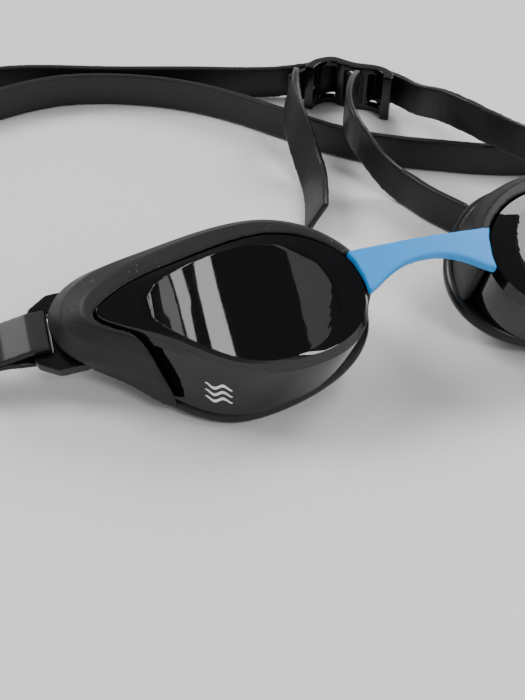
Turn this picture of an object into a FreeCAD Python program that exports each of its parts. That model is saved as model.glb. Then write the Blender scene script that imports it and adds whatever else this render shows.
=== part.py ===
import FreeCAD, Part
import math
import os

# Swim goggles laid on a table, lenses up. Millimetres. +X is the wearer's left, +Y is away from
# the chin, +Z is up. The origin is on the table under the middle of goggles and strap together.
# An eyecup is drawn in its own frame: p runs from the nose to the temple, v from the chin to the
# forehead, q from the face seal out to the lens. The right cup is the mirror image in p.

DIMENSIONS = [
    ("cup_spacing", 43.2),        # from the middle plane to a cup's own origin
    ("cup_forward", -54.8),       # that origin's place along Y
    ("cup_height", 4.45),         # and above the table
    ("rest_tilt", 18.26),         # the goggles lie on their chin edge, degrees
    ("wrap_angle", 5.42),         # each lens turns back towards its temple, degrees
    ("lens_level", 19.2),         # outside of the lens face above the seal
    ("lens_face", 1.6),
    ("lens_wall", 1.5),
    ("lens_slope", 0.5),          # drop from the flat window to the rim
    ("shoulder_level", 16.4),     # widest line round the lens, under the rim
    ("seal_level", 3.4),          # where lens and frame sit on the gasket
    ("seal_land", 2.6),           # width of the gasket inside the lens wall
    ("frame_step", 0.9),          # the window stands this much above the frame
    ("fit_gap", 0.25),            # between the hard pieces and the soft frame
    ("clip_thick", 3.0),
    ("clip_level", 3.6),          # underside of the strap clip above the seal
    ("clip_reach", 38.0),         # outer edge of the clip's bar, along p
    ("clip_root", 26.0),
    ("bar_width", 2.0),
    ("slot_gap", 0.6),            # play of the strap in the slot
    ("slot_middle", 13.0),        # middle of the slot along v
    ("clip_width", 18.5),
    ("strap_width", 9.5),
    ("strap_thick", 1.6),
    ("tail_left_lean", 3.0),      # degrees
    ("tail_right_lean", 31.0),
    ("bridge_thick", 2.3),
    ("bridge_end", 9.9),         # width of the nose bridge at the cups
    ("bridge_waist", 4.6),
    ("bridge_rise", 0.8),
    ("bridge_top", 9.2),          # its forehead edge along v
    ("bridge_reach", 16.0),       # half its length
    ("bridge_stand", 1.0),        # its ends stand this much above the lens face
    ("fold_run", 11.0),           # doubled strap beyond the clip
    ("fold_close", 6.0),          # its layers meet this far from the clip
    ("layer_gap", 0.6),
    ("buckle_long", 24.4),
    ("buckle_tall", 13.5),
    ("buckle_thick", 2.6),
    ("buckle_bar", 2.6),
    ("buckle_x", 17.0),
    ("buckle_y", 44.4),
    ("buckle_turn", -36.0),       # degrees
]

# Outlines of an eyecup as (p, v), going round from the temple over the forehead side.
LENS_WINDOW = [
    (12.9, 8.2), (10.2, 11.6), (3.4, 14.3), (-5.2, 15.9), (-13.4, 15.2), (-19.0, 12.6), (-22.6, 8.0),
    (-24.1, 3.0), (-23.9, -2.4), (-21.6, -7.2), (-16.4, -10.3), (-9.4, -11.0), (-2.4, -8.8),
    (5.0, -3.4), (10.8, 2.2),
]
LENS_RIM = [
    (22.6, 9.6), (15.7, 13.3), (5.4, 15.8), (-5.6, 17.7), (-14.0, 17.9), (-21.1, 15.6), (-26.8, 11.2),
    (-30.2, 4.6), (-29.9, -2.4), (-26.4, -8.0), (-19.0, -11.1), (-10.8, -11.5), (-2.0, -9.4),
    (8.0, -2.2), (17.0, 3.5),
]
LENS_SHOULDER = [
    (23.6, 9.4), (16.6, 13.8), (5.8, 16.8), (-5.8, 19.0), (-14.4, 19.0), (-21.6, 16.4), (-27.2, 11.4),
    (-30.7, 4.8), (-30.5, -3.0), (-27.0, -8.8), (-19.2, -12.3), (-10.6, -12.7), (-2.0, -10.6),
    (8.4, -4.0), (17.8, 2.4),
]
LENS_BASE = [
    (25.0, 9.6), (19.0, 16.4), (8.0, 22.4), (-4.0, 24.6), (-14.0, 23.4), (-22.6, 18.6), (-28.0, 11.6),
    (-29.8, 5.0), (-29.6, -1.0), (-25.8, -7.2), (-18.0, -11.8), (-8.0, -13.8), (1.0, -13.4),
    (7.4, -10.2), (17.4, -1.6),
]
FRAME_TOP = [
    (26.0, 9.6), (25.0, 12.6), (21.6, 15.4), (9.6, 19.6), (-4.8, 22.0), (-14.8, 21.4), (-23.0, 17.8),
    (-29.0, 12.4), (-32.0, 5.4), (-31.4, 0.0), (-24.6, -1.6), (-18.0, -3.0), (-9.6, -4.0),
    (-0.6, -1.6), (9.8, -2.6), (18.8, 2.4), (23.8, 5.6),
]
FRAME_UPPER = [
    (30.6, 10.4), (29.2, 15.0), (25.2, 18.6), (12.6, 22.2), (-4.4, 24.6), (-14.8, 24.0), (-24.0, 19.8),
    (-30.0, 13.4), (-32.8, 6.0), (-32.0, 0.0), (-24.6, -2.0), (-18.0, -4.0), (-9.6, -5.0),
    (-0.6, -3.2), (10.2, -4.6), (19.4, 0.8), (26.4, 4.4),
]
FRAME_MIDDLE = [
    (33.6, 12.2), (32.6, 17.4), (28.4, 21.6), (14.6, 25.0), (-3.6, 27.4), (-14.4, 26.6), (-24.0, 21.6),
    (-30.0, 14.4), (-32.8, 6.8), (-32.0, 0.0), (-24.6, -3.0), (-18.0, -6.0), (-9.4, -7.6),
    (-0.4, -6.0), (10.0, -7.4), (19.6, -1.0), (28.9, 3.6),
]
FRAME_BASE = [
    (34.0, 14.6), (33.0, 20.2), (28.6, 24.4), (14.4, 27.6), (-3.0, 29.4), (-14.0, 28.2), (-23.6, 22.8),
    (-29.6, 15.0), (-32.4, 7.4), (-31.8, -0.6), (-24.6, -4.0), (-18.0, -7.0), (-8.6, -9.0),
    (0.6, -8.0), (10.6, -9.6), (19.4, -2.4), (29.2, 5.8),
]
LIP = [
    (30.6, 13.6), (25.6, 22.4), (13.0, 28.2), (-2.0, 31.0), (-13.0, 30.2), (-22.8, 25.6), (-29.8, 17.6),
    (-33.7, 8.2), (-33.0, 0.0), (-28.4, -6.6), (-19.6, -11.7), (-9.0, -14.4), (1.0, -14.4),
    (8.0, -11.2), (18.4, -2.0), (26.0, 4.6),
]
# How the gasket's edge is rounded: share of its height, and how far in from the outline.
LIP_ROUNDING = [(0.0, 1.3), (0.1, 0.6), (0.3, 0.1), (0.5, 0.0), (0.7, 0.1), (0.9, 0.6), (1.0, 1.3)]
# Chin side of the frame is left open from the nose round to this line beside the lens's tip.
OPEN_CHIN = [(20.4, 7.6), (14.8, -1.2), (11.4, -8.0), (9.4, -20.0), (-40.0, -20.0), (-40.0, 1.2),
             (-31.0, 1.2), (-26.0, 3.0), (0.0, 6.0)]

# The strap on the table, as (x, y, z) of its middle line. It stands on its edge.
BAND_A = [(-114.4, -29.5, 4.9), (-125.5, -18.9, 4.8), (-132.6, -1.9, 4.8), (-133.4, 19.1, 4.8),
          (-126.0, 42.6, 4.8), (-111.0, 60.6, 4.8), (-94.0, 70.2, 4.8), (-76.0, 72.2, 4.8),
          (-48.5, 65.4, 4.8), (-20.8, 58.2, 4.8), (2.0, 52.2, 5.2), (10.0, 50.8, 6.0), (15.6, 49.9, 6.6)]
BAND_B = [(-112.3, -26.6, 4.9), (-122.0, -16.9, 4.8), (-127.0, -0.9, 4.8), (-125.0, 21.1, 4.8),
          (-115.0, 39.1, 4.8), (-98.0, 52.6, 4.8), (-80.0, 59.8, 4.8), (-62.0, 63.2, 4.8),
          (-45.0, 60.2, 4.8), (-28.0, 52.6, 4.8), (-13.0, 40.8, 4.8), (0.0, 27.2, 4.8),
          (14.0, 15.0, 4.8), (30.0, 7.0, 4.8), (50.0, -0.6, 4.8), (74.0, -2.0, 4.8),
          (98.0, 3.6, 4.8), (117.0, 6.5, 4.8), (131.0, -1.9, 4.8), (132.6, -15.7, 4.8),
          (123.6, -25.3, 4.8), (114.4, -29.5, 4.9)]
BAND_C = [(24.8, 44.2, 6.6), (29.4, 40.0, 6.8), (32.0, 34.2, 7.6), (32.8, 26.1, 10.0),
          (35.0, 15.6, 14.2), (40.6, 3.7, 15.4), (48.6, -5.5, 14.0), (61.0, -11.1, 10.4),
          (77.0, -11.5, 7.6), (94.0, -7.5, 5.6), (109.0, -5.3, 4.9), (119.6, -10.1, 4.8),
          (121.4, -19.5, 4.8), (112.9, -27.1, 4.9)]
TAIL_D = [(20.2, 40.2, 8.0), (18.4, 36.2, 10.6), (15.4, 31.0, 12.8), (11.6, 23.6, 14.8),
          (9.0, 16.8, 15.2), (8.4, 9.6, 14.4), (11.0, 3.1, 10.7), (14.1, -0.6, 6.9), (17.4, -4.5, 4.8),
          (20.3, -11.0, 4.8), (24.4, -17.8, 4.8), (27.0, -21.7, 4.8)]
TAIL_E = [(3.2, 42.8, 8.4), (1.0, 38.2, 12.8), (-1.6, 32.0, 15.4), (-3.8, 25.0, 14.8),
          (-4.3, 18.3, 12.0), (-3.5, 12.5, 7.4), (-3.3, 6.6, 4.5), (-5.5, -3.7, 4.5), (-8.0, -11.6, 4.5)]

# Back of the rear clip seen from above, in its own frame.
CLIP_WAVE = [(-10.6, -6.0), (-9.8, -2.2), (-7.1, 0.8), (-3.6, 2.3), (0.6, 1.8), (5.1, 1.5),
             (10.6, 2.2), (14.6, 1.6), (17.6, -0.6), (18.2, -3.4)]

doc = FreeCAD.newDocument("goggles")
sheet = doc.addObject("Spreadsheet::Sheet", "dims")
for row, (alias, value) in enumerate(DIMENSIONS, 1):
    sheet.set(f"A{row}", alias)
    sheet.set(f"B{row}", str(value))
    sheet.setAlias(f"B{row}", alias)
doc.recompute()


def dim(alias):
    return float(getattr(sheet, alias))


def vec(x, y, z=0.0):
    return FreeCAD.Vector(x, y, z)


def origin_plane(body, role):
    return [feature for feature in body.Origin.OriginFeatures if feature.Role == role][0]


def new_body(label, placement):
    body = doc.addObject("PartDesign::Body", label)
    body.Label = label
    body.Placement = placement
    return body


def sketch(body, name, level, curves, role="XY_Plane"):
    """A sketch at a level above an origin plane; level is an expression over the sheet."""
    made = body.newObject("Sketcher::SketchObject", f"{body.Label}_{name}")
    made.AttachmentSupport = (origin_plane(body, role), [""])
    made.MapMode = "FlatFace"
    made.setExpression("AttachmentOffset.Base.z", level)
    for curve in curves:
        made.addGeometry(curve, False)
    return made


def smooth(points, side=1):
    """One closed smooth curve through the points, mirrored in p for side -1."""
    curve = Part.BSplineCurve()
    curve.interpolate([vec(side * p, v) for p, v in points], PeriodicFlag=True)
    return [curve]


def rounded(points, radius, side=1):
    """A closed polygon with its corners rounded."""
    corners = [vec(side * p, v) for p, v in points]
    parts, starts, ends = [], [], []
    for here, corner in enumerate(corners):
        back = (corners[here - 1] - corner).normalize()
        ahead = (corners[(here + 1) % len(corners)] - corner).normalize()
        half = back.getAngle(ahead) / 2
        reach = radius / math.tan(half)
        middle = corner + (back + ahead).normalize() * (radius / math.sin(half) - radius)
        starts.append(corner + back * reach)
        ends.append(corner + ahead * reach)
        parts.append(Part.Arc(starts[-1], middle, ends[-1]))
    for here, end in enumerate(ends):
        parts.append(Part.LineSegment(end, starts[(here + 1) % len(starts)]))
    return parts


def grown(points, distance):
    """An outline (anticlockwise) moved outwards by a distance, or inwards if it is negative."""
    moved = []
    for here, (p, v) in enumerate(points):
        back, ahead = points[here - 1], points[(here + 1) % len(points)]
        along = vec(ahead[0] - back[0], ahead[1] - back[1]).normalize()
        moved.append((p + along.y * distance, v - along.x * distance))
    return moved


def loft(body, name, kind, first, *others):
    feature = body.newObject(f"PartDesign::{kind}", f"{body.Label}_{name}")
    feature.Profile = first
    feature.Sections = list(others)
    feature.Ruled = True
    doc.recompute()
    return feature


def pocket(body, name, profile, length, reverse=False, through=False):
    feature = body.newObject("PartDesign::Pocket", f"{body.Label}_{name}")
    feature.Profile = profile
    if through:
        feature.Type = 1
    else:
        feature.setExpression("Length", length)
    feature.Reversed = reverse
    doc.recompute()
    return feature


def pad(body, name, profile, length, midplane=False):
    feature = body.newObject("PartDesign::Pad", f"{body.Label}_{name}")
    feature.Profile = profile
    feature.setExpression("Length", length)
    feature.Midplane = midplane
    doc.recompute()
    return feature


def cup_placement(side):
    tilt = FreeCAD.Rotation(vec(1, 0, 0), dim("rest_tilt"))
    wrap = FreeCAD.Rotation(vec(0, 1, 0), side * dim("wrap_angle"))
    where = vec(side * dim("cup_spacing"), dim("cup_forward"), dim("cup_height"))
    return FreeCAD.Placement(where, tilt.multiply(wrap))


# ---- eyecups ----

def lens(label, side):
    """Smoke shell: the lens face and the side wall under it, in one piece."""
    body = new_body(label, cup_placement(side))
    wall = dim("lens_wall")
    low = sketch(body, "low", "dims.seal_level", smooth(LENS_BASE, side))
    shoulder = sketch(body, "shoulder", "dims.shoulder_level", smooth(LENS_SHOULDER, side))
    rim = sketch(body, "rim", "dims.lens_level - dims.lens_slope", smooth(LENS_RIM, side))
    window = sketch(body, "window", "dims.lens_level", smooth(LENS_WINDOW, side))
    loft(body, "shell", "AdditiveLoft", low, shoulder, rim, window)
    inner_low = sketch(body, "inner_low", "dims.seal_level", smooth(grown(LENS_BASE, -wall), side))
    inner_high = sketch(body, "inner_high", "dims.lens_level - dims.lens_slope - dims.lens_face",
                        smooth(grown(LENS_RIM, -wall), side))
    loft(body, "hollow", "SubtractiveLoft", inner_low, inner_high)
    return body


def frame(label, side):
    """Soft black frame: band over the forehead side, nose wall and temple cover."""
    body = new_body(label, cup_placement(side))
    gap = dim("fit_gap")
    low = sketch(body, "low", "dims.seal_level", smooth(FRAME_BASE, side))
    middle = sketch(body, "middle", "dims.lens_level * 0.5", smooth(FRAME_MIDDLE, side))
    upper = sketch(body, "upper", "dims.lens_level * 0.8", smooth(FRAME_UPPER, side))
    high = sketch(body, "high", "dims.lens_level - dims.frame_step", smooth(FRAME_TOP, side))
    loft(body, "block", "AdditiveLoft", low, middle, upper, high)
    seat_low = sketch(body, "seat_low", "dims.seal_level", smooth(grown(LENS_BASE, gap), side))
    seat_wide = sketch(body, "seat_wide", "dims.shoulder_level", smooth(grown(LENS_SHOULDER, gap), side))
    seat_high = sketch(body, "seat_high", "dims.lens_level", smooth(grown(LENS_RIM, gap), side))
    loft(body, "seat", "SubtractiveLoft", seat_low, seat_wide)
    loft(body, "seat_rim", "SubtractiveLoft", seat_wide, seat_high)
    open_line = [Part.LineSegment(vec(side * a[0], a[1]), vec(side * b[0], b[1]))
                 for a, b in zip(OPEN_CHIN, OPEN_CHIN[1:] + OPEN_CHIN[:1])]
    chin = sketch(body, "chin", "dims.lens_level", open_line)
    pocket(body, "open_chin", chin, "dims.lens_level", through=True)
    recess = sketch(body, "recess", "dims.seal_level", rounded(clip_outline(gap), 2.0, side))
    pocket(body, "clip_recess", recess,
           "dims.clip_level + dims.clip_thick + dims.fit_gap - dims.seal_level", reverse=True)
    top, end = dim("bridge_top"), dim("bridge_end")
    corners = [(-40, top - end - 4 * gap), (-24, top - end - 4 * gap), (-24, top + gap), (-40, top + gap)]
    foot = sketch(body, "foot", "dims.lens_level", rounded(corners, 1.0, side))
    pocket(body, "bridge_seat", foot,
           "dims.bridge_thick - dims.bridge_stand + dims.fit_gap * 2")
    return body


def gasket(label, side):
    """Soft ring that seals on the face, with a rounded lip."""
    body = new_body(label, cup_placement(side))
    hole = grown(LENS_BASE, -dim("lens_wall") - dim("seal_land"))
    rings = [sketch(body, f"ring_{n}", f"dims.seal_level * {share}", smooth(grown(LIP, -inset), side))
             for n, (share, inset) in enumerate(LIP_ROUNDING)]
    loft(body, "ring", "AdditiveLoft", *rings)
    eye = sketch(body, "eye", "dims.seal_level", smooth(hole, side))
    pocket(body, "eye_hole", eye, "dims.seal_level", through=True)
    return body


def clip_outline(more=0.0):
    middle = dim("slot_middle")
    half = dim("clip_width") / 2
    root, reach = dim("clip_root"), dim("clip_reach")
    end = dim("strap_width") / 2 + dim("slot_gap") + dim("bar_width") / 2
    return grown([(root, middle - half), (reach - 4.6, middle - half), (reach, middle - end),
                  (reach, middle + end), (reach - 4.6, middle + half), (root, middle + half)], more)


def strap_clip(label, side):
    """Hard loop at the temple that the strap turns back through."""
    body = new_body(label, cup_placement(side))
    plate = sketch(body, "plate", "dims.clip_level", rounded(clip_outline(), 1.8, side))
    pad(body, "plate_pad", plate, "dims.clip_thick")
    middle, half = dim("slot_middle"), dim("strap_width") / 2 + dim("slot_gap") / 2
    outer = dim("clip_reach") - dim("bar_width")
    inner = outer - dim("strap_thick") - dim("slot_gap")
    window = [(inner, middle - half), (inner, middle + half),
              (outer, middle + half), (outer, middle - half)]
    slot = sketch(body, "slot", "dims.clip_level", rounded(window, 0.5, side))
    pocket(body, "slot_cut", slot, "dims.clip_thick", reverse=True)
    return body


def nose_bridge():
    """Soft bow-tie band between the cups: high on the nose side, arched outwards."""
    tilt = FreeCAD.Rotation(vec(1, 0, 0), dim("rest_tilt"))
    reach = dim("bridge_reach")
    level = cup_placement(1).multVec(vec(-dim("cup_spacing") + reach, 0,
                                            dim("lens_level") + dim("bridge_stand")))
    where = vec(0, level.y, level.z)
    body = new_body("nose_bridge", FreeCAD.Placement(where, tilt))
    thick, rise = dim("bridge_thick"), dim("bridge_rise")
    arch = [Part.Arc(vec(-reach, -thick), vec(0, rise - thick), vec(reach, -thick)),
            Part.LineSegment(vec(reach, -thick), vec(reach, 0)),
            Part.Arc(vec(reach, 0), vec(0, rise), vec(-reach, 0)),
            Part.LineSegment(vec(-reach, 0), vec(-reach, -thick))]
    profile = sketch(body, "arch", "0", arch, "XZ_Plane")
    pad(body, "arch_pad", profile, "dims.bridge_end * 4", midplane=True)
    top, end, waist = dim("bridge_top"), dim("bridge_end"), dim("bridge_waist")
    foot = [(reach + 1, top - end + 0.4), (reach - 2.6, top - end), (reach - 5.2, top - end + 1.5),
            (reach - 8.2, top - waist - 1.9), (reach - 11.6, top - waist - 0.5)]
    lower = [(-x, v) for x, v in foot] + [(0, top - waist)] + foot[::-1]
    edge = Part.BSplineCurve()
    edge.interpolate([vec(x, v) for x, v in lower])
    far = dim("bridge_end") * 3
    below = [edge, Part.LineSegment(vec(*lower[-1]), vec(reach + 1, -far)),
             Part.LineSegment(vec(reach + 1, -far), vec(-reach - 1, -far)),
             Part.LineSegment(vec(-reach - 1, -far), vec(*lower[0]))]
    chin_side = sketch(body, "chin_side", "dims.bridge_rise + 1", below)
    pocket(body, "chin_cut", chin_side, "0", through=True)
    for name, side in (("left", 1), ("right", -1)):
        beside_rim = [(reach + 4, top + 1), (reach + 0.3, top + 1), (reach - 1.2, top - 2.6),
                      (reach - 2.0, top - 6.6), (reach - 2.2, top - end - 2), (reach + 4, top - end - 2)]
        outline = [vec(side * x, v) for x, v in beside_rim]
        end_cut = sketch(body, f"{name}_end", "dims.bridge_rise + 1",
                         [Part.LineSegment(a, b) for a, b in zip(outline, outline[1:] + outline[:1])])
        pocket(body, f"{name}_end_cut", end_cut, "0", through=True)
    above = [(-reach - 1, top), (reach + 1, top), (reach + 1, far), (-reach - 1, far)]
    forehead = sketch(body, "forehead_side", "dims.bridge_rise + 1",
                      [Part.LineSegment(vec(*a), vec(*b)) for a, b in zip(above, above[1:] + above[:1])])
    pocket(body, "forehead_cut", forehead, "0", through=True)
    return body


# ---- strap and rear clip ----

def through(points, step=3.0):
    """Points a step apart on a smooth open curve, with the curve's direction at each."""
    curve = Part.BSplineCurve()
    curve.interpolate([vec(*point) for point in points])
    count = max(2, round(curve.length() / step))
    places = [curve.parameterAtDistance(curve.length() * n / count, curve.FirstParameter)
              for n in range(count + 1)]
    return [(curve.value(at), vec(*curve.tangent(at)[0])) for at in places]


def ribbon(label, stations):
    """A flat strap as a closed solid: stations are (middle, direction along, direction across)."""
    thick, width = dim("strap_thick"), dim("strap_width")
    wires = []
    for middle, along, across in stations:
        out = along.cross(across).normalize() * (thick / 2)
        side = across * (width / 2)
        corners = [middle + out + side, middle - out + side, middle - out - side, middle + out - side]
        wires.append(Part.makePolygon(corners + corners[:1]))
    feature = doc.addObject("Part::Feature", label)
    feature.Label = label
    feature.Shape = Part.makeLoft(wires, True, True)
    return feature


def tail(label, points, lean):
    """A loose end: upright where it leaves the rear clip, leaning by an angle further on."""
    stations = through(points)
    leaning = []
    for here, (middle, along) in enumerate(stations):
        angle = math.radians(lean) * min(1.0, 2.0 * here / len(stations))
        low = dim("strap_width") / 2 * math.cos(angle) + dim("strap_thick") / 2 * math.sin(angle) + 0.1
        leaning.append((vec(middle.x, middle.y, max(middle.z, low)), along,
                        vec(math.sin(angle), 0, math.cos(angle))))
    return ribbon(label, leaning)


def band(label, points):
    """A strap standing on its edge; no part of it goes below the table."""
    low = dim("strap_width") / 2
    return ribbon(label, [(vec(middle.x, middle.y, max(middle.z, low)), along, vec(0, 0, 1))
                          for middle, along in through(points)])


def strap_fold(label, side):
    """The strap's turn round the bar of a temple clip, as two layers joined by a bend."""
    thick, gap, near_gap = dim("strap_thick"), dim("slot_gap") / 2, dim("layer_gap") / 2
    middle = dim("clip_level") + dim("clip_thick") / 2
    away = dim("clip_thick") / 2 + gap
    bar_out = dim("clip_reach") + gap
    bar_in = dim("clip_reach") - dim("bar_width") - gap
    join, end = dim("clip_reach") + dim("fold_close"), dim("clip_reach") + dim("fold_run")
    inner = [(end, near_gap), (join, near_gap), (bar_out, away), (bar_in, away)]
    outer = [(bar_in - thick, away + thick), (bar_out, away + thick), (join, near_gap + thick),
             (end, near_gap + thick)]
    points = [(p, middle + q) for p, q in inner] + [(p, middle - q) for p, q in inner[::-1]]
    points += [(p, middle - q) for p, q in outer[::-1]] + [(p, middle + q) for p, q in outer]
    half = dim("strap_width") / 2
    edge = dim("slot_middle") - half
    wire = Part.makePolygon([vec(side * p, edge, q) for p, q in points + points[:1]])
    feature = doc.addObject("Part::Feature", label)
    feature.Label = label
    feature.Shape = Part.Face(wire).extrude(vec(0, 2 * half, 0))
    feature.Placement = cup_placement(side)
    return feature


def temple_run(label, side, layer, target):
    """One layer from a fold to its band: it turns from the clip's plane to stand on its edge."""
    place = cup_placement(side)
    middle = dim("clip_level") + dim("clip_thick") / 2
    offset = (dim("layer_gap") + dim("strap_thick")) / 2
    start = place.multVec(vec(side * (dim("clip_reach") + dim("fold_run")),
                              dim("slot_middle"), middle + layer * offset))
    along = place.Rotation.multVec(vec(side, 0, 0))
    across = place.Rotation.multVec(vec(0, 1, 0))
    goal, goal_along = target
    curve = Part.BezierCurve()
    pull = (goal - start).Length / 3
    curve.setPoles([start, start + along * pull, goal - goal_along * pull, goal])
    stations = []
    count = 8
    for n in range(count + 1):
        share = n / count
        direction = vec(*curve.tangent(share)[0])
        twist = share * share * (3 - 2 * share) * math.pi / 2
        turned = across * math.cos(twist) + vec(0, 0, 1) * math.sin(twist)
        turned = (turned - direction * turned.dot(direction)).normalize()
        stations.append((curve.value(share), direction, turned))
    stations[0] = (start, along, across)
    stations[-1] = (goal, goal_along, vec(0, 0, 1))
    return ribbon(label, stations)


def rear_clip():
    """Ladder clip behind the head: four bars and three windows, slightly waved."""
    turn = FreeCAD.Rotation(vec(0, 0, 1), dim("buckle_turn"))
    body = new_body("rear_clip", FreeCAD.Placement(vec(dim("buckle_x"), dim("buckle_y"), 0), turn))
    scale, thick = dim("buckle_long") / (CLIP_WAVE[-1][0] - CLIP_WAVE[0][0]), dim("buckle_thick")
    wave = [(x * scale, y) for x, y in CLIP_WAVE]
    inside = [(x, y) for x, y in grown(wave, thick)[1:-1]]
    inside = [(wave[0][0] + thick, wave[0][1])] + inside + [(wave[-1][0] - thick, wave[-1][1])]
    front, back = Part.BSplineCurve(), Part.BSplineCurve()
    front.interpolate([vec(x, y) for x, y in inside])
    back.interpolate([vec(x, y) for x, y in wave])
    ends = [Part.LineSegment(vec(*wave[n]), vec(*inside[n])) for n in (0, -1)]
    plan = sketch(body, "plan", "0", [front, back] + ends)
    pad(body, "plate", plan, "dims.buckle_tall")
    bar = dim("buckle_bar")
    first = wave[0][0] + dim("buckle_thick") + 0.6
    window = (wave[-1][0] - wave[0][0] - 2 * dim("buckle_thick") - 1.2 - 2 * bar) / 3
    sill = (dim("buckle_tall") - dim("strap_width") - dim("slot_gap")) / 2
    for number in range(3):
        left = first + number * (window + bar)
        corners = [(left, sill), (left + window, sill),
                   (left + window, dim("buckle_tall") - sill), (left, dim("buckle_tall") - sill)]
        opening = sketch(body, f"window_{number}", "dims.buckle_thick * 3", rounded(corners, 0.8),
                         "XZ_Plane")
        pocket(body, f"window_cut_{number}", opening, "0", through=True)
    return body


made = []
for name, side in (("right", -1), ("left", 1)):
    made += [lens(f"{name}_lens", side), frame(f"{name}_frame", side), gasket(f"{name}_gasket", side),
             strap_clip(f"{name}_strap_clip", side), strap_fold(f"{name}_strap_fold", side)]
made.append(nose_bridge())
made.append(rear_clip())

start_a, start_b = through(BAND_A)[0], through(BAND_B)[0]
end_b, end_c = through(BAND_B)[-1], through(BAND_C)[-1]
made += [band("strap_band_upper", BAND_A), band("strap_band_lower", BAND_B),
         band("strap_band_left", BAND_C), tail("strap_tail_left", TAIL_D, dim("tail_left_lean")),
         tail("strap_tail_right", TAIL_E, dim("tail_right_lean"))]
made += [temple_run("right_strap_run_outer", -1, 1, start_a),
         temple_run("right_strap_run_inner", -1, -1, start_b),
         temple_run("left_strap_run_outer", 1, 1, (end_b[0], -end_b[1])),
         temple_run("left_strap_run_inner", 1, -1, (end_c[0], -end_c[1]))]
doc.recompute()

broken = [thing.Label for thing in doc.Objects if {"Invalid", "Error"} & set(thing.State)]
assert not broken, broken
os.makedirs("parts", exist_ok=True)
for piece in made:
    assert not piece.Shape.isNull() and piece.Shape.isValid(), piece.Label
    box = piece.Shape.BoundBox
    print(f"{piece.Label:24s} {piece.Shape.Volume:9.1f} mm3  {len(piece.Shape.Solids)} solid"
          f"  x {box.XMin:7.1f} {box.XMax:7.1f}  y {box.YMin:6.1f} {box.YMax:6.1f}"
          f"  z {box.ZMin:6.2f} {box.ZMax:6.2f}")
    piece.Shape.exportStep(f"parts/{piece.Label}.step")
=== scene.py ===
import bpy
import math
from mathutils import Matrix, Vector


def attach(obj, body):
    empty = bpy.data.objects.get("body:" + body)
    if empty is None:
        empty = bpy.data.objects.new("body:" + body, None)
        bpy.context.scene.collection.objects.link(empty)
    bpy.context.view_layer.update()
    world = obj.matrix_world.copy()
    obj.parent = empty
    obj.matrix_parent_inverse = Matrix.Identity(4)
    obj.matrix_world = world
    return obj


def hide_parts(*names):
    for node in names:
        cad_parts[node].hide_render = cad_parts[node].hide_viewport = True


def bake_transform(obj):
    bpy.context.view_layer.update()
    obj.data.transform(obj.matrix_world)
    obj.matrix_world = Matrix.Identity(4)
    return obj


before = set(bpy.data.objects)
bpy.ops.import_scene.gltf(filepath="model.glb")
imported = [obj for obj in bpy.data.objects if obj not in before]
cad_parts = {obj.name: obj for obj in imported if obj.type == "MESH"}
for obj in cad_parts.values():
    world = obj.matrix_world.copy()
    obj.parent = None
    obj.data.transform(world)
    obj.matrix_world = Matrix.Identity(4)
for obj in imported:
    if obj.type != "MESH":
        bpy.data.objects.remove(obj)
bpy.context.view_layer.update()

MM = 0.001
SIDES = {"right": -1, "left": 1}

# Seat of each eyecup on the table: half spacing, distance forward, height, then its two tilts.
CUP_SPACING = 43.2 * MM
CUP_FORWARD = -54.8 * MM
CUP_HEIGHT = 4.45 * MM
REST_TILT = math.radians(18.26)
WRAP_ANGLE = math.radians(5.42)
LENS_LEVEL = 19.2 * MM
LENS_INSIDE = 17.6 * MM

CAMERA_AT = (-0.0821, -0.2170, 0.1716)
CAMERA_RIGHT = (0.9628, -0.2699, 0.0150)
CAMERA_UP = (0.1782, 0.6755, 0.7155)
LENS_MM = 56.57

STRAP_TALL = 9.5 * MM
CLIP_AT = Vector((17.0, 44.4, 0)) * MM      # middle of the rear clip, and its turn about the upright
CLIP_TURN = math.radians(-36.0)
CLIP_SILL = 1.9 * MM                        # from the table to the foot of the clip's windows

# Where the strap leaves each temple clip, on the cup, and where its runs meet the bands.
FOLD_END = (49.0, 13.0, 5.1)
RUN_END = {"right": Vector((-0.1125, -0.0285, 0.005)), "left": Vector((0.1125, -0.0285, 0.005))}


# ---------------------------------------------------------------- places
def cup_matrix(side):
    """From an eyecup's own axes to the table's."""
    way = SIDES[side]
    turn = Matrix.Rotation(REST_TILT, 4, "X") @ Matrix.Rotation(way * WRAP_ANGLE, 4, "Y")
    return Matrix.Translation((way * CUP_SPACING, CUP_FORWARD, CUP_HEIGHT)) @ turn


def on_cup(side, outward, up, level):
    """A point given in millimetres on an eyecup, outward being towards the temple."""
    return cup_matrix(side) @ (Vector((SIDES[side] * outward, up, level)) * MM)


# ---------------------------------------------------------------- node groups
def new_group(name, inputs, outputs):
    group = bpy.data.node_groups.new(name, "ShaderNodeTree")
    for label, kind, value in inputs:
        socket = group.interface.new_socket(name=label, in_out="INPUT", socket_type=kind)
        socket.default_value = value
    for label, kind in outputs:
        group.interface.new_socket(name=label, in_out="OUTPUT", socket_type=kind)
    return group, group.nodes.new("NodeGroupInput"), group.nodes.new("NodeGroupOutput")


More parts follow.
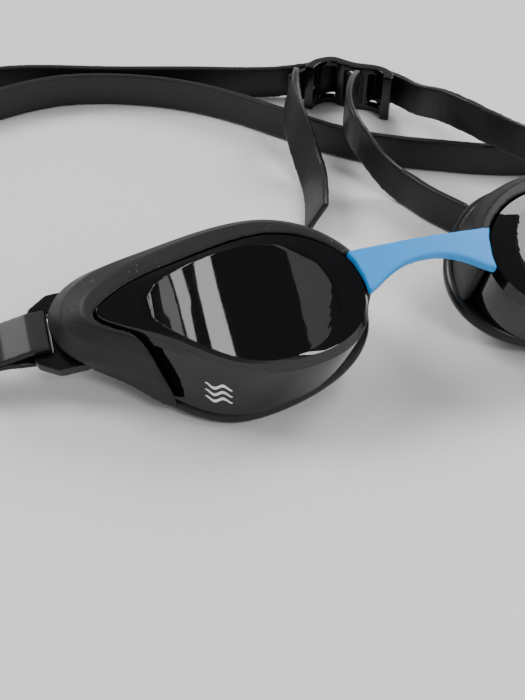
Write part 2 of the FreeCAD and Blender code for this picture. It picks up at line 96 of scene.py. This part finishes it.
def moulded_grain():
    """Fine pebbled grain and slow wandering of the surface, as a height and a mottle."""
    group, given, out = new_group(
        "moulded_grain",
        [("Grain Scale", "NodeSocketFloat", 2500.0), ("Wave Scale", "NodeSocketFloat", 160.0)],
        [("Height", "NodeSocketFloat"), ("Mottle", "NodeSocketFloat")])
    links = group.links
    place = group.nodes.new("ShaderNodeTexCoord")
    fine = group.nodes.new("ShaderNodeTexNoise")
    slow = group.nodes.new("ShaderNodeTexNoise")
    slow.inputs["Detail"].default_value = 3.0
    fine.inputs["Detail"].default_value = 4.0
    for noise, label in ((fine, "Grain Scale"), (slow, "Wave Scale")):
        links.new(place.outputs["Object"], noise.inputs["Vector"])
        links.new(given.outputs[label], noise.inputs["Scale"])
    both = group.nodes.new("ShaderNodeMath")
    both.operation = "MULTIPLY_ADD"
    links.new(slow.outputs["Fac"], both.inputs[0])
    both.inputs[1].default_value = 0.5
    links.new(fine.outputs["Fac"], both.inputs[2])
    links.new(both.outputs[0], out.inputs["Height"])
    links.new(slow.outputs["Fac"], out.inputs["Mottle"])
    return group


def dust_specks():
    """Small pale specks of lint, thicker in some patches than in others."""
    group, given, out = new_group(
        "dust_specks",
        [("Scale", "NodeSocketFloat", 900.0), ("Size", "NodeSocketFloat", 0.12)],
        [("Mask", "NodeSocketFloat")])
    links = group.links
    place = group.nodes.new("ShaderNodeTexCoord")
    cells = group.nodes.new("ShaderNodeTexVoronoi")
    links.new(place.outputs["Object"], cells.inputs["Vector"])
    links.new(given.outputs["Scale"], cells.inputs["Scale"])
    near = group.nodes.new("ShaderNodeMath")
    near.operation = "LESS_THAN"
    links.new(cells.outputs["Distance"], near.inputs[0])
    links.new(given.outputs["Size"], near.inputs[1])
    patches = group.nodes.new("ShaderNodeTexNoise")
    patches.inputs["Scale"].default_value = 220.0
    links.new(place.outputs["Object"], patches.inputs["Vector"])
    thick = group.nodes.new("ShaderNodeMapRange")
    thick.inputs["From Min"].default_value = 0.52
    thick.inputs["From Max"].default_value = 0.68
    links.new(patches.outputs["Fac"], thick.inputs["Value"])
    both = group.nodes.new("ShaderNodeMath")
    both.operation = "MULTIPLY"
    links.new(near.outputs[0], both.inputs[0])
    links.new(thick.outputs["Result"], both.inputs[1])
    links.new(both.outputs[0], out.inputs["Mask"])
    return group


GRAIN = moulded_grain()
SPECKS = dust_specks()


# ---------------------------------------------------------------- materials
def finish_material(name, colour, worn, rough, grain=2500.0, waves=160.0, bump=0.05,
                    dust=0.0, coat=0.0, shine=0.5):
    """Moulded rubber or plastic: mottled colour and roughness, grain, and dust where asked."""
    mat = bpy.data.materials.new(name)
    mat.use_nodes = True
    nodes, links = mat.node_tree.nodes, mat.node_tree.links
    shader = nodes["Principled BSDF"]
    skin = nodes.new("ShaderNodeGroup")
    skin.node_tree = GRAIN
    skin.inputs["Grain Scale"].default_value = grain
    skin.inputs["Wave Scale"].default_value = waves
    tint = nodes.new("ShaderNodeMix")
    tint.data_type = "RGBA"
    tint.inputs["A"].default_value = (*colour, 1)
    tint.inputs["B"].default_value = (*worn, 1)
    links.new(skin.outputs["Mottle"], tint.inputs["Factor"])
    last = tint.outputs["Result"]
    if dust:
        specks = nodes.new("ShaderNodeGroup")
        specks.node_tree = SPECKS
        lint = nodes.new("ShaderNodeMix")
        lint.data_type = "RGBA"
        lint.inputs["B"].default_value = (dust, dust, dust, 1)
        links.new(specks.outputs["Mask"], lint.inputs["Factor"])
        links.new(last, lint.inputs["A"])
        last = lint.outputs["Result"]
    links.new(last, shader.inputs["Base Color"])
    spread = nodes.new("ShaderNodeMapRange")
    spread.inputs["To Min"].default_value = rough * 0.85
    spread.inputs["To Max"].default_value = rough * 1.15
    links.new(skin.outputs["Mottle"], spread.inputs["Value"])
    links.new(spread.outputs["Result"], shader.inputs["Roughness"])
    relief = nodes.new("ShaderNodeBump")
    relief.inputs["Strength"].default_value = bump
    relief.inputs["Distance"].default_value = 0.05 * MM
    links.new(skin.outputs["Height"], relief.inputs["Height"])
    links.new(relief.outputs["Normal"], shader.inputs["Normal"])
    shader.inputs["Coat Weight"].default_value = coat
    shader.inputs["Coat Roughness"].default_value = 0.05
    shader.inputs["Specular IOR Level"].default_value = shine
    return mat


def smoke_material(side):
    """Glossy black lens whose flat window is clear smoke, so the hollow cup shows faintly."""
    mat = finish_material(f"smoke_lens_{side}", (0.0025, 0.0025, 0.003), (0.004, 0.004, 0.0045), 0.015,
                          bump=0.0, waves=90.0)
    nodes, links = mat.node_tree.nodes, mat.node_tree.links
    place = nodes.new("ShaderNodeTexCoord")
    seat = cup_matrix(side)
    own = nodes.new("ShaderNodeMapping")
    own.vector_type = "TEXTURE"
    own.inputs["Location"].default_value = seat.to_translation()
    own.inputs["Rotation"].default_value = seat.to_euler("XYZ")
    links.new(place.outputs["Object"], own.inputs["Vector"])
    split = nodes.new("ShaderNodeSeparateXYZ")
    links.new(own.outputs["Vector"], split.inputs[0])
    found = []
    for level in (LENS_LEVEL, LENS_INSIDE):
        near = nodes.new("ShaderNodeMath")
        near.operation = "COMPARE"
        near.inputs[1].default_value = level
        near.inputs[2].default_value = 0.06 * MM
        links.new(split.outputs["Z"], near.inputs[0])
        found.append(near)
    either = nodes.new("ShaderNodeMath")
    either.operation = "MAXIMUM"
    links.new(found[0].outputs[0], either.inputs[0])
    links.new(found[1].outputs[0], either.inputs[1])
    clear = nodes.new("ShaderNodeMapRange")
    clear.inputs["To Min"].default_value = 1.0
    clear.inputs["To Max"].default_value = 0.84
    links.new(either.outputs[0], clear.inputs["Value"])
    links.new(clear.outputs["Result"], nodes["Principled BSDF"].inputs["Alpha"])
    return mat


BROW_RUBBER = finish_material("brow_rubber", (0.003, 0.003, 0.0032), (0.008, 0.008, 0.0085), 0.5,
                              bump=0.4, dust=0.16, shine=0.35)
SEAL_RUBBER = finish_material("seal_rubber", (0.002, 0.002, 0.0025), (0.005, 0.005, 0.0055), 0.3,
                              bump=0.15, dust=0.08, shine=0.4)
STRAP_RUBBER = finish_material("strap_rubber", (0.003, 0.003, 0.0035), (0.006, 0.0062, 0.007), 0.4,
                               bump=0.12, waves=60.0, dust=0.06, shine=0.4)
CLIP_PLASTIC = finish_material("clip_plastic", (0.002, 0.002, 0.0025), (0.004, 0.004, 0.005), 0.13,
                               bump=0.04)
BRIDGE_RUBBER = finish_material("bridge_rubber", (0.008, 0.29, 0.78), (0.016, 0.32, 0.82), 0.48,
                                bump=0.3, dust=0.0)
MARK_INK = finish_material("mark_ink", (0.78, 0.78, 0.77), (0.85, 0.85, 0.84), 0.35, bump=0.05)
TABLE = finish_material("table_paint", (0.80, 0.79, 0.765), (0.83, 0.82, 0.795), 0.45,
                        grain=900.0, waves=6.0, bump=0.05)


# ---------------------------------------------------------------- making pieces
def pick(*things):
    bpy.ops.object.select_all(action="DESELECT")
    for thing in things:
        thing.select_set(True)
    bpy.context.view_layer.objects.active = things[-1]


def apply_all(piece):
    pick(piece)
    for modifier in list(piece.modifiers):
        bpy.ops.object.modifier_apply(modifier=modifier.name)


def dress(piece, mat):
    piece.data.materials.clear()
    piece.data.materials.append(mat)


def merged_copy(name, node):
    """A node's shape as one closed skin, ready to be softened."""
    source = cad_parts[node]
    piece = source.copy()
    piece.data = source.data.copy()
    piece.name = name
    piece.parent = None
    for key in list(piece.keys()):
        del piece[key]
    bpy.context.scene.collection.objects.link(piece)
    pick(piece)
    bpy.ops.object.mode_set(mode="EDIT")
    bpy.ops.mesh.select_all(action="SELECT")
    bpy.ops.mesh.remove_doubles(threshold=1e-6)
    bpy.ops.object.mode_set(mode="OBJECT")
    return piece


def softened(name, node, cell, passes, mat):
    """Moulded soft piece: the node's shape reskinned in small cells and eased, so every corner is round."""
    piece = merged_copy(name, node)
    skin = piece.modifiers.new("skin", "REMESH")
    skin.mode = "VOXEL"
    skin.voxel_size = cell * MM
    ease = piece.modifiers.new("ease", "SMOOTH")
    ease.factor = 0.5
    ease.iterations = passes
    apply_all(piece)
    bpy.ops.object.shade_smooth()
    dress(piece, mat)
    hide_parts(node)
    return piece


def edged(name, node, radius, mat, angle=30.0):
    """Hard piece: the node's shape with its edges broken by a small radius."""
    piece = merged_copy(name, node)
    edge = piece.modifiers.new("edge", "BEVEL")
    edge.width = radius * MM
    edge.segments = 2
    edge.limit_method = "ANGLE"
    edge.angle_limit = math.radians(angle)
    apply_all(piece)
    bpy.ops.object.shade_smooth_by_angle(angle=math.radians(angle))
    flat = piece.modifiers.new("flat_faces", "WEIGHTED_NORMAL")
    flat.weight = 100
    flat.keep_sharp = True
    apply_all(piece)
    dress(piece, mat)
    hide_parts(node)
    return piece


# ---------------------------------------------------------------- eyecups
def eyecup(side):
    """Lens, brow frame, face seal, temple clip and the strap's turn round the clip's bar."""
    body = f"{side}_eyecup"
    lens = edged(f"{side}_smoke_lens", f"{side}_lens", 0.2, smoke_material(side), 18.0)
    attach(lens, body)
    for name, node, size, passes, mat, slot in (
            ("brow_frame", "frame", 0.34, 10, BROW_RUBBER, "soft_black"),
            ("seal_lip", "gasket", 0.34, 8, SEAL_RUBBER, "soft_seal"),
            ("temple_clip", "strap_clip", 0.2, 5, CLIP_PLASTIC, "hard_black"),
            ("strap_turn", "strap_fold", 0.25, 5, STRAP_RUBBER, "strap_black")):
        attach(softened(f"{side}_{name}", f"{side}_{node}", size, passes, mat), body)
    if side == "right":
        printed_waves(side, lens)


def printed_waves(side, lens):
    """Three short white wave lines printed on the lens's side wall."""
    seat = cup_matrix(side)
    out = (seat.to_3x3() @ Vector((SIDES[side] * 0.43, -0.85, 0.30))).normalized()
    level = out.cross(Vector((0, 0, -1))).normalized()
    rise = out.cross(level).normalized()
    if rise.z < 0:
        rise = -rise
    centre = on_cup(side, 2.9, -10.75, 9.3) + out * 0.3 * MM
    half, thick, apart, height = 2.9 * MM, 0.42 * MM, 1.9 * MM, 0.55 * MM
    for line in range(3):
        bpy.ops.mesh.primitive_plane_add(size=2, location=(0, 0, 0))
        wave = bpy.context.object
        wave.name = f"{side}_printed_wave_{line}"
        bpy.ops.object.mode_set(mode="EDIT")
        bpy.ops.mesh.select_all(action="SELECT")
        bpy.ops.mesh.subdivide(number_cuts=31)
        bpy.ops.object.mode_set(mode="OBJECT")
        lift = (line - 1) * apart
        for vert in wave.data.vertices:
            across, up = vert.co.x, vert.co.y
            taper = 0.25 + 0.75 * math.cos(across * math.pi / 2) ** 0.6
            swing = height * math.sin(across * math.pi * 1.5)
            vert.co = centre + level * across * half + rise * (lift + swing + up * thick * taper)
        cling = wave.modifiers.new("cling", "SHRINKWRAP")
        cling.target = lens
        cling.wrap_method = "NEAREST_SURFACEPOINT"
        cling.wrap_mode = "ABOVE_SURFACE"
        cling.offset = 0.03 * MM
        body = wave.modifiers.new("ink", "SOLIDIFY")
        body.thickness = 0.04 * MM
        apply_all(wave)
        bpy.ops.object.shade_smooth_by_angle(angle=math.radians(30))
        dress(wave, MARK_INK)
        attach(wave, f"{side}_eyecup")


def bridge():
    """The blue nose bridge between the eyecups."""
    piece = softened("blue_bridge", "nose_bridge", 0.25, 10, BRIDGE_RUBBER)
    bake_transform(piece)


# ---------------------------------------------------------------- strap
def strap_piece(name, node):
    """One length of the strap, with its long edges rounded."""
    return softened(name, node, 0.38, 6, STRAP_RUBBER)


def strap():
    """Bands, tails and temple runs; the tails ride on the rear clip."""
    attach(strap_piece("lower_band", "strap_band_lower"), "strap")
    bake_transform(strap_piece("upper_band", "strap_band_upper"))
    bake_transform(strap_piece("left_band", "strap_band_left"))
    for side in SIDES:
        tail = strap_piece(f"{side}_tail", f"strap_tail_{side}")
        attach(tail, "rear_clip")
    for layer in ("outer", "inner"):
        run = strap_piece(f"right_run_{layer}", f"right_strap_run_{layer}")
        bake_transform(run)
    # The left runs hang between the left cup and the strap, which both turn on the right cup,
    # so each is cut at its middle into two halves.
    left_end = on_cup("left", *FOLD_END)
    half_way = (left_end + RUN_END["left"]) / 2
    along = (RUN_END["left"] - left_end).normalized()
    for layer in ("outer", "inner"):
        near = strap_piece(f"left_run_{layer}", f"left_strap_run_{layer}")
        far = near.copy()
        far.data = near.data.copy()
        far.name = f"left_run_{layer}_far"
        bpy.context.scene.collection.objects.link(far)
        for part, outer in ((near, True), (far, False)):
            pick(part)
            bpy.ops.object.mode_set(mode="EDIT")
            bpy.ops.mesh.select_all(action="SELECT")
            bpy.ops.mesh.bisect(plane_co=half_way, plane_no=along, use_fill=True,
                                clear_outer=outer, clear_inner=not outer)
            bpy.ops.object.mode_set(mode="OBJECT")
        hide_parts(f"left_strap_run_{layer}")
        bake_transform(near)
        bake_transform(far)


# ---------------------------------------------------------------- rear clip
def clip_point(along, out, level):
    return Matrix.Rotation(CLIP_TURN, 3, "Z") @ (Vector((along, out, level)) * MM) + CLIP_AT


def woven_strap():
    """Strap woven round the rear clip's bars, standing on its edge."""
    line = [(-12.6, -9.0), (-10.4, -4.2), (-7.4, -1.6), (-4.8, 1.8), (-2.0, 3.4), (0.4, 1.4),
            (2.4, -1.4), (5.0, -1.8), (7.2, 0.6), (9.2, 3.2), (12.0, 1.4), (14.4, -3.0)]
    bpy.ops.mesh.primitive_plane_add(size=STRAP_TALL, location=(0, 0, 0))
    piece = bpy.context.object
    piece.name = "clip_strap"
    mesh = piece.data
    first = clip_point(*line[0], 0)
    bpy.ops.object.mode_set(mode="EDIT")
    bpy.ops.mesh.select_all(action="SELECT")
    bpy.ops.mesh.delete(type="ONLY_FACE")
    bpy.ops.object.mode_set(mode="OBJECT")
    for vert in mesh.vertices:
        vert.select = vert.index > 1
    bpy.ops.object.mode_set(mode="EDIT")
    bpy.ops.mesh.delete(type="VERT")
    bpy.ops.object.mode_set(mode="OBJECT")
    mesh.vertices[0].co = (first.x, first.y, CLIP_SILL)
    mesh.vertices[1].co = (first.x, first.y, CLIP_SILL + STRAP_TALL)
    bpy.ops.object.mode_set(mode="EDIT")
    bpy.ops.mesh.select_all(action="SELECT")
    before = first
    for along, out in line[1:]:
        here = clip_point(along, out, 0)
        bpy.ops.mesh.extrude_region_move(TRANSFORM_OT_translate={"value": here - before})
        before = here
    bpy.ops.mesh.select_all(action="SELECT")
    bpy.ops.mesh.normals_make_consistent(inside=False)
    bpy.ops.object.mode_set(mode="OBJECT")
    wall = piece.modifiers.new("wall", "SOLIDIFY")
    wall.thickness = 1.4 * MM
    wall.offset = 0
    edge = piece.modifiers.new("edge", "BEVEL")
    edge.width = 0.3 * MM
    edge.segments = 2
    edge.limit_method = "ANGLE"
    edge.angle_limit = math.radians(60)
    round_over = piece.modifiers.new("round", "SUBSURF")
    round_over.levels = round_over.render_levels = 2
    apply_all(piece)
    bpy.ops.object.shade_smooth()
    dress(piece, STRAP_RUBBER)
    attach(piece, "rear_clip")


def ladder_clip():
    """The rear clip itself, glossy with rounded bars."""
    piece = softened("ladder_clip", "rear_clip", 0.2, 6, CLIP_PLASTIC)
    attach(piece, "rear_clip")


# ---------------------------------------------------------------- setting
def camera():
    """Stands in front and above, turned a little towards the wearer's left."""
    data = bpy.data.cameras.new("camera")
    data.lens = LENS_MM
    cam = bpy.data.objects.new("camera", data)
    bpy.context.scene.collection.objects.link(cam)
    right = Vector(CAMERA_RIGHT).normalized()
    up = Vector(CAMERA_UP)
    up = (up - right * up.dot(right)).normalized()
    back = right.cross(up)
    turn = Matrix((right, up, back)).transposed().to_4x4()
    cam.matrix_world = Matrix.Translation(CAMERA_AT) @ turn
    bpy.context.scene.camera = cam


def floor():
    bpy.ops.mesh.primitive_plane_add(size=8, location=(0, 0, -0.0002))
    plane = bpy.context.object
    plane.name = "table_top"
    plane.data.materials.append(TABLE)


def lamp(name, at, aim, size, power):
    data = bpy.data.lights.new(name, "AREA")
    data.shape = "RECTANGLE"
    data.size, data.size_y = size
    data.energy = power
    obj = bpy.data.objects.new(name, data)
    obj.location = at
    away = Vector(at) - Vector(aim)
    obj.rotation_euler = away.to_track_quat("Z", "Y").to_euler()
    bpy.context.scene.collection.objects.link(obj)


def studio():
    """A room brighter round the horizon than overhead, narrow overhead strips that the lens
    windows mirror, and three soft lamps."""
    world = bpy.data.worlds.new("room")
    bpy.context.scene.world = world
    world.use_nodes = True
    nodes, links = world.node_tree.nodes, world.node_tree.links
    place = nodes.new("ShaderNodeTexCoord")
    split = nodes.new("ShaderNodeSeparateXYZ")
    links.new(place.outputs["Generated"], split.inputs[0])
    fade = nodes.new("ShaderNodeMapRange")
    fade.inputs["From Min"].default_value = 0.0
    fade.inputs["From Max"].default_value = 0.9
    fade.inputs["To Min"].default_value = 0.85
    fade.inputs["To Max"].default_value = 0.16
    links.new(split.outputs["Z"], fade.inputs["Value"])
    links.new(fade.outputs["Result"], nodes["Background"].inputs["Strength"])
    nodes["Background"].inputs["Color"].default_value = (0.93, 0.96, 1.0, 1)
    long, overhead, behind = 0.7, 1.6, 0.24
    for name, across, wide, glow in (("strip_a", -0.192, 0.018, 5), ("strip_b", -0.172, 0.008, 7),
                                     ("strip_c", -0.120, 0.022, 3), ("strip_d", -0.094, 0.020, 9),
                                     ("strip_e", -0.045, 0.034, 11), ("strip_f", 0.14, 0.08, 1.2)):
        lamp(name, (across, behind, overhead), (across, behind, 0), (wide, long),
             glow * math.pi * wide * long)
    lamp("window_side", (-1.2, 0.9, 1.5), (0, 0, 0), (0.9, 0.9), 31)
    lamp("room_side", (1.3, 0.7, 1.4), (0, 0, 0), (0.9, 0.9), 24)
    lamp("front_wall", (0.5, -1.3, 1.3), (0, 0, 0), (0.5, 0.5), 12)


camera()
floor()
for cup in SIDES:
    eyecup(cup)
bridge()
strap()
ladder_clip()
woven_strap()
studio()
